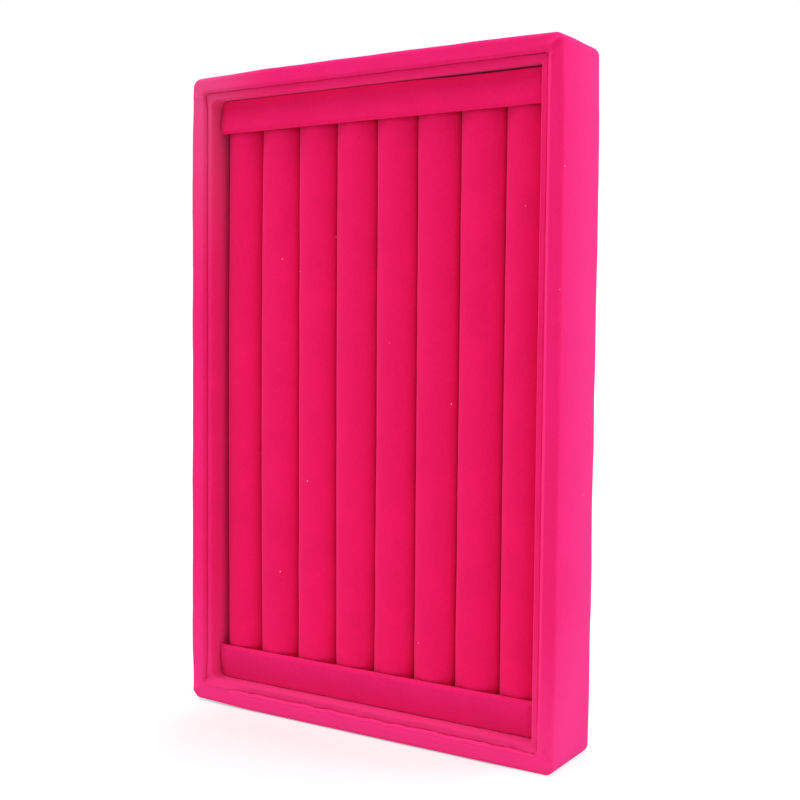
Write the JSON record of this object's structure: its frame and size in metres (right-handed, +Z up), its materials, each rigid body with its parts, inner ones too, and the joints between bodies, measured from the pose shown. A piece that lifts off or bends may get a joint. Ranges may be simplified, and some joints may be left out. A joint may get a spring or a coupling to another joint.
{
  "type": "jewelry tray",
  "caption": "Velvet-covered ring display tray: a rectangular frame with a stepped rim round a lift-out insert of soft rounded rolls that grip rings in the slots between them.",
  "frame": {"origin": "middle of the footprint of the short end that the tray stands on, as in the picture", "axes": "+Z up along the tray's long side, +X across its width to the right as seen from the front, -Y out of the open face, +Y out of the back"},
  "size_m": [0.155, 0.031, 0.24],
  "materials": {
    "velvet": "matte",
    "back_paper": "matte",
    "fibreboard": "matte",
    "card": "matte",
    "foam": "matte"
  },
  "bodies": {
    "tray": {"wall_board_left": "fibreboard", "wall_board_right": "fibreboard", "wall_board_bottom": "fibreboard", "wall_board_top": "fibreboard", "base_board": "fibreboard", "frame_velvet_left": "velvet", "frame_velvet_right": "velvet", "frame_velvet_bottom": "velvet", "frame_velvet_top": "velvet", "back_panel": "back_paper", "liner_card_left": "card", "liner_card_right": "card", "liner_card_bottom": "card", "liner_card_top": "card", "liner_velvet_left": "velvet", "liner_velvet_right": "velvet", "liner_velvet_bottom": "velvet", "liner_velvet_top": "velvet"},
    "insert": {"insert_card": "card", "roll_foam_1": "foam", "roll_foam_2": "foam", "roll_foam_3": "foam", "roll_foam_4": "foam", "roll_foam_5": "foam", "roll_foam_6": "foam", "roll_foam_7": "foam", "roll_foam_8": "foam", "roll_velvet_1": "velvet", "roll_velvet_2": "velvet", "roll_velvet_3": "velvet", "roll_velvet_4": "velvet", "roll_velvet_5": "velvet", "roll_velvet_6": "velvet", "roll_velvet_7": "velvet", "roll_velvet_8": "velvet", "end_bar_core_bottom": "foam", "end_bar_core_top": "foam", "end_bar_velvet_bottom": "velvet", "end_bar_velvet_top": "velvet"}
  },
  "joints": [
    {"name": "insert_lift", "type": "slide", "parent": "tray", "child": "insert", "axis": [0, -1, 0], "range_m": [0, 0.03]}
  ]
}
